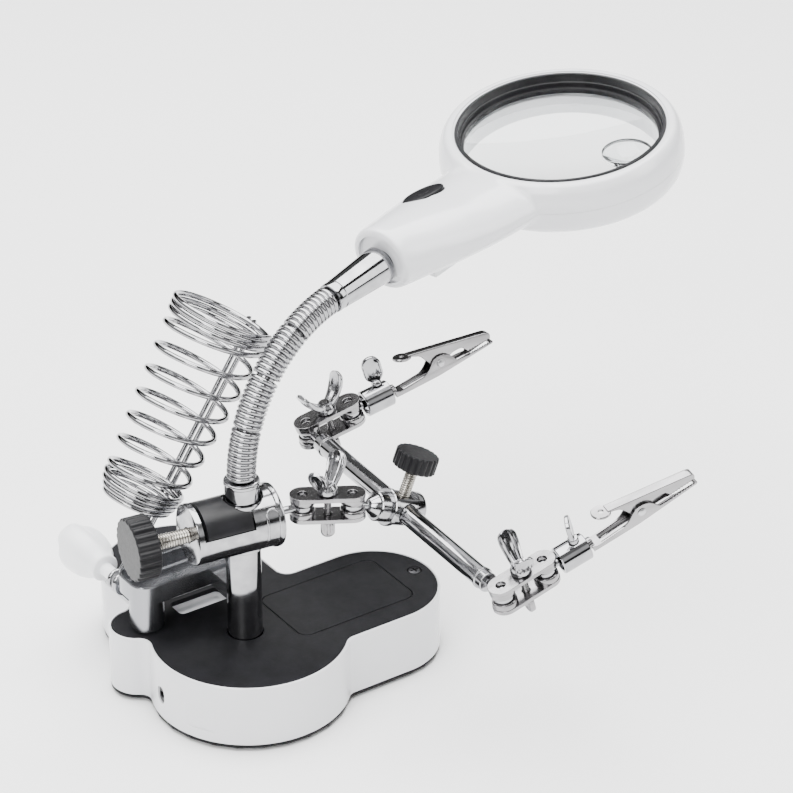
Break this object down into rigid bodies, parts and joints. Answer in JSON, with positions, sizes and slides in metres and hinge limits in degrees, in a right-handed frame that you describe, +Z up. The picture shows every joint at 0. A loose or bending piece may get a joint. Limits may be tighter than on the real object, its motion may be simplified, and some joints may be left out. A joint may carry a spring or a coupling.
{
  "type": "soldering helping hands clamp",
  "caption": "Weighted soldering stand with a gooseneck lighted magnifier, coil iron holder, tray and ball-jointed alligator clip arms.",
  "frame": {"origin": "centre of the underside of the foot below the column, on the table", "axes": "+Z up along the column, +X along the battery arm of the base, +Y towards the lobe behind the sponge tray"},
  "size_m": [0.3346, 0.2353, 0.2194],
  "materials": {
    "white_plastic": "glossy white moulded plastic",
    "black_plastic": "black moulded plastic with a fine grain",
    "rubber": "matt black",
    "chrome": "bright plated",
    "brass": "dull plated thread",
    "steel": "plain steel",
    "clear_glass": "clear and polished"
  },
  "bodies": {
    "base": {"base_shell": "white_plastic", "top_plate": "black_plastic", "plate_screw": "steel", "bottom_cover": "black_plastic", "ballast_plate": "steel", "dc_jack": "black_plastic", "foot_column": "rubber", "foot_front": "rubber", "foot_right": "rubber", "foot_back": "rubber", "foot_left": "rubber", "post": "chrome", "sponge_tray": "chrome"},
    "battery_door": {"battery_door": "black_plastic"},
    "holder": {"iron_holder": "chrome"},
    "holder_knob": {"holder_knob": "white_plastic"},
    "sleeve": {"clamp_sleeve": "chrome"},
    "column_clamp": {"clamp_casting": "chrome", "column_ball_stud": "chrome"},
    "clamp_jaw": {"clamp_jaw": "black_plastic"},
    "clamp_knob": {"clamp_screw": "brass", "clamp_knob": "black_plastic"},
    "arm_clamp": {"arm_clamp_top_plate": "chrome", "arm_clamp_bottom_plate": "chrome", "arm_clamp_bolt": "chrome"},
    "arm_wing_nut": {"arm_clamp_wing_nut": "chrome"},
    "bar_clamp": {"bar_clamp": "chrome"},
    "bar_knob": {"bar_screw": "brass", "bar_knob": "black_plastic"},
    "cross_bar": {"cross_bar": "chrome"},
    "far_clamp": {"far_clamp_top_plate": "chrome", "far_clamp_bottom_plate": "chrome", "far_clamp_bolt": "chrome"},
    "far_wing_nut": {"far_clamp_wing_nut": "chrome"},
    "far_socket": {"far_clip_socket": "chrome"},
    "far_thumb_screw": {"far_clip_thumb_screw": "chrome"},
    "far_clip": {"far_clip_lower_jaw": "chrome", "far_clip_rivet": "steel"},
    "far_clip_jaw": {"far_clip_upper_jaw": "chrome"},
    "near_clamp": {"near_clamp_top_plate": "chrome", "near_clamp_bottom_plate": "chrome", "near_clamp_bolt": "chrome"},
    "near_wing_nut": {"near_clamp_wing_nut": "chrome"},
    "near_socket": {"near_clip_socket": "chrome"},
    "near_thumb_screw": {"near_clip_thumb_screw": "chrome"},
    "near_clip": {"near_clip_lower_jaw": "chrome", "near_clip_rivet": "steel"},
    "near_clip_jaw": {"near_clip_upper_jaw": "chrome"},
    "neck_1": {"gooseneck_1": "chrome"},
    "neck_2": {"gooseneck_2": "chrome"},
    "neck_3": {"gooseneck_3": "chrome"},
    "neck_4": {"gooseneck_4": "chrome"},
    "head": {"neck_ferrule": "chrome", "head_upper_shell": "white_plastic", "head_lower_shell": "white_plastic", "lens_bezel": "black_plastic", "main_lens": "clear_glass", "small_lens": "clear_glass", "led_board": "white_plastic"},
    "switch": {"switch_button": "black_plastic"}
  },
  "joints": [
    {"name": "door_lift", "type": "slide", "parent": "base", "child": "battery_door", "axis": [0, 0, 1], "range_m": [0, 0.01]},
    {"name": "holder_tilt", "type": "hinge", "parent": "base", "child": "holder", "pos_m": [-0.0377, 0.0496, 0.0486], "axis": [0, 1, 0], "range_deg": [-60, 6]},
    {"name": "holder_knob_turn", "type": "hinge", "parent": "base", "child": "holder_knob", "pos_m": [-0.0377, 0.0496, 0.0486], "axis": [0, 1, 0], "continuous": true},
    {"name": "clamp_height", "type": "slide", "parent": "base", "child": "sleeve", "axis": [0, 0, 1], "range_m": [-0.018, 0.006]},
    {"name": "clamp_swing", "type": "hinge", "parent": "sleeve", "child": "column_clamp", "pos_m": [0, 0, 0.093], "axis": [0, 0, 1], "range_deg": [-12, 35]},
    {"name": "jaw_travel", "type": "slide", "parent": "column_clamp", "child": "clamp_jaw", "axis": [0.9903, -0.1392, 0], "range_m": [-0.00125, 0]},
    {"name": "clamp_knob_turn", "type": "hinge", "parent": "clamp_jaw", "child": "clamp_knob", "pos_m": [0, 0, 0.093], "axis": [0.9903, -0.1392, 0], "continuous": true},
    {"name": "arm_swing", "type": "hinge", "parent": "column_clamp", "child": "arm_clamp", "pos_m": [0.02971, -0.00417, 0.093], "axis": [0, 0, 1], "range_deg": [-30, 30]},
    {"name": "arm_wing_nut_turn", "type": "hinge", "parent": "arm_clamp", "child": "arm_wing_nut", "pos_m": [0.03947, -0.01006, 0.093], "axis": [0, 0, 1], "continuous": true},
    {"name": "bar_roll", "type": "hinge", "parent": "arm_clamp", "child": "bar_clamp", "pos_m": [0.04923, -0.01595, 0.093], "axis": [0.9293, -0.0455, -0.3665], "range_deg": [-15, 15]},
    {"name": "bar_knob_turn", "type": "hinge", "parent": "bar_clamp", "child": "bar_knob", "pos_m": [0.07432, -0.01718, 0.0831], "axis": [0.3661, -0.0179, 0.9304], "continuous": true},
    {"name": "bar_slide", "type": "slide", "parent": "bar_clamp", "child": "cross_bar", "axis": [0.0489, 0.9988, 0], "range_m": [-0.02, 0.02]},
    {"name": "far_clamp_swing", "type": "hinge", "parent": "cross_bar", "child": "far_clamp", "pos_m": [0.07835, 0.06512, 0.0831], "axis": [-0.2478, 0.0357, 0.9681], "range_deg": [0, 40]},
    {"name": "far_wing_nut_turn", "type": "hinge", "parent": "far_clamp", "child": "far_wing_nut", "pos_m": [0.08927, 0.06355, 0.08596], "axis": [-0.2478, 0.0357, 0.9681], "continuous": true},
    {"name": "far_socket_swing", "type": "hinge", "parent": "far_clamp", "child": "far_socket", "pos_m": [0.1002, 0.06197, 0.08881], "axis": [-0.2478, 0.0357, 0.9681], "range_deg": [-30, 30]},
    {"name": "far_thumb_screw_turn", "type": "hinge", "parent": "far_socket", "child": "far_thumb_screw", "pos_m": [0.11657, 0.06021, 0.09258], "axis": [-0.2033, 0.1725, 0.9638], "continuous": true},
    {"name": "far_clip_roll", "type": "hinge", "parent": "far_socket", "child": "far_clip", "pos_m": [0.12142, 0.05969, 0.0937], "axis": [0.955, -0.0937, 0.2815], "range_deg": [-45, 45]},
    {"name": "far_clip_open", "type": "hinge", "parent": "far_clip", "child": "far_clip_jaw", "pos_m": [0.14817, 0.05737, 0.10367], "axis": [-0.1391, -0.9795, 0.146], "range_deg": [0, 16], "stiffness_Nm_per_rad": 0.1, "springref_deg": -34.38},
    {"name": "near_clamp_swing", "type": "hinge", "parent": "cross_bar", "child": "near_clamp", "pos_m": [0.07005, -0.10458, 0.0831], "axis": [-0.2587, 0.0072, 0.9659], "range_deg": [-30, 30]},
    {"name": "near_wing_nut_turn", "type": "hinge", "parent": "near_clamp", "child": "near_wing_nut", "pos_m": [0.08106, -0.10488, 0.08606], "axis": [-0.2587, 0.0072, 0.9659], "continuous": true},
    {"name": "near_socket_swing", "type": "hinge", "parent": "near_clamp", "child": "near_socket", "pos_m": [0.09206, -0.10519, 0.08901], "axis": [-0.2587, 0.0072, 0.9659], "range_deg": [-30, 30]},
    {"name": "near_thumb_screw_turn", "type": "hinge", "parent": "near_socket", "child": "near_thumb_screw", "pos_m": [0.10766, -0.10791, 0.09491], "axis": [-0.3662, -0.0888, 0.9263], "continuous": true},
    {"name": "near_clip_roll", "type": "hinge", "parent": "near_socket", "child": "near_clip", "pos_m": [0.11228, -0.10871, 0.09666], "axis": [0.899, -0.166, 0.4054], "range_deg": [-45, 45]},
    {"name": "near_clip_open", "type": "hinge", "parent": "near_clip", "child": "near_clip_jaw", "pos_m": [0.1371, -0.11362, 0.11008], "axis": [-0.118, -0.983, -0.1409], "range_deg": [0, 16], "stiffness_Nm_per_rad": 0.1, "springref_deg": -34.38},
    {"name": "neck_bend_1", "type": "hinge", "parent": "base", "child": "neck_1", "pos_m": [0, 0, 0.1155], "axis": [-0.2419, 0.9703, 0], "range_deg": [-6, 4]},
    {"name": "neck_bend_2", "type": "hinge", "parent": "neck_1", "child": "neck_2", "pos_m": [0.00423, 0.00105, 0.13945], "axis": [-0.2419, 0.9703, 0], "range_deg": [-6, 4]},
    {"name": "neck_bend_3", "type": "hinge", "parent": "neck_2", "child": "neck_3", "pos_m": [0.01637, 0.00408, 0.16034], "axis": [-0.2419, 0.9703, 0], "range_deg": [-6, 4]},
    {"name": "neck_bend_4", "type": "hinge", "parent": "neck_3", "child": "neck_4", "pos_m": [0.03488, 0.0087, 0.17547], "axis": [-0.2419, 0.9703, 0], "range_deg": [-6, 4]},
    {"name": "neck_bend_5", "type": "hinge", "parent": "neck_4", "child": "head", "pos_m": [0.05737, 0.0143, 0.18292], "axis": [-0.2419, 0.9703, 0], "range_deg": [-6, 4]},
    {"name": "switch_press", "type": "slide", "parent": "head", "child": "switch", "axis": [0.1814, -0.2041, -0.962], "range_m": [0, 0.0008], "stiffness_N_per_m": 700, "springref_m": -0.001}
  ]
}
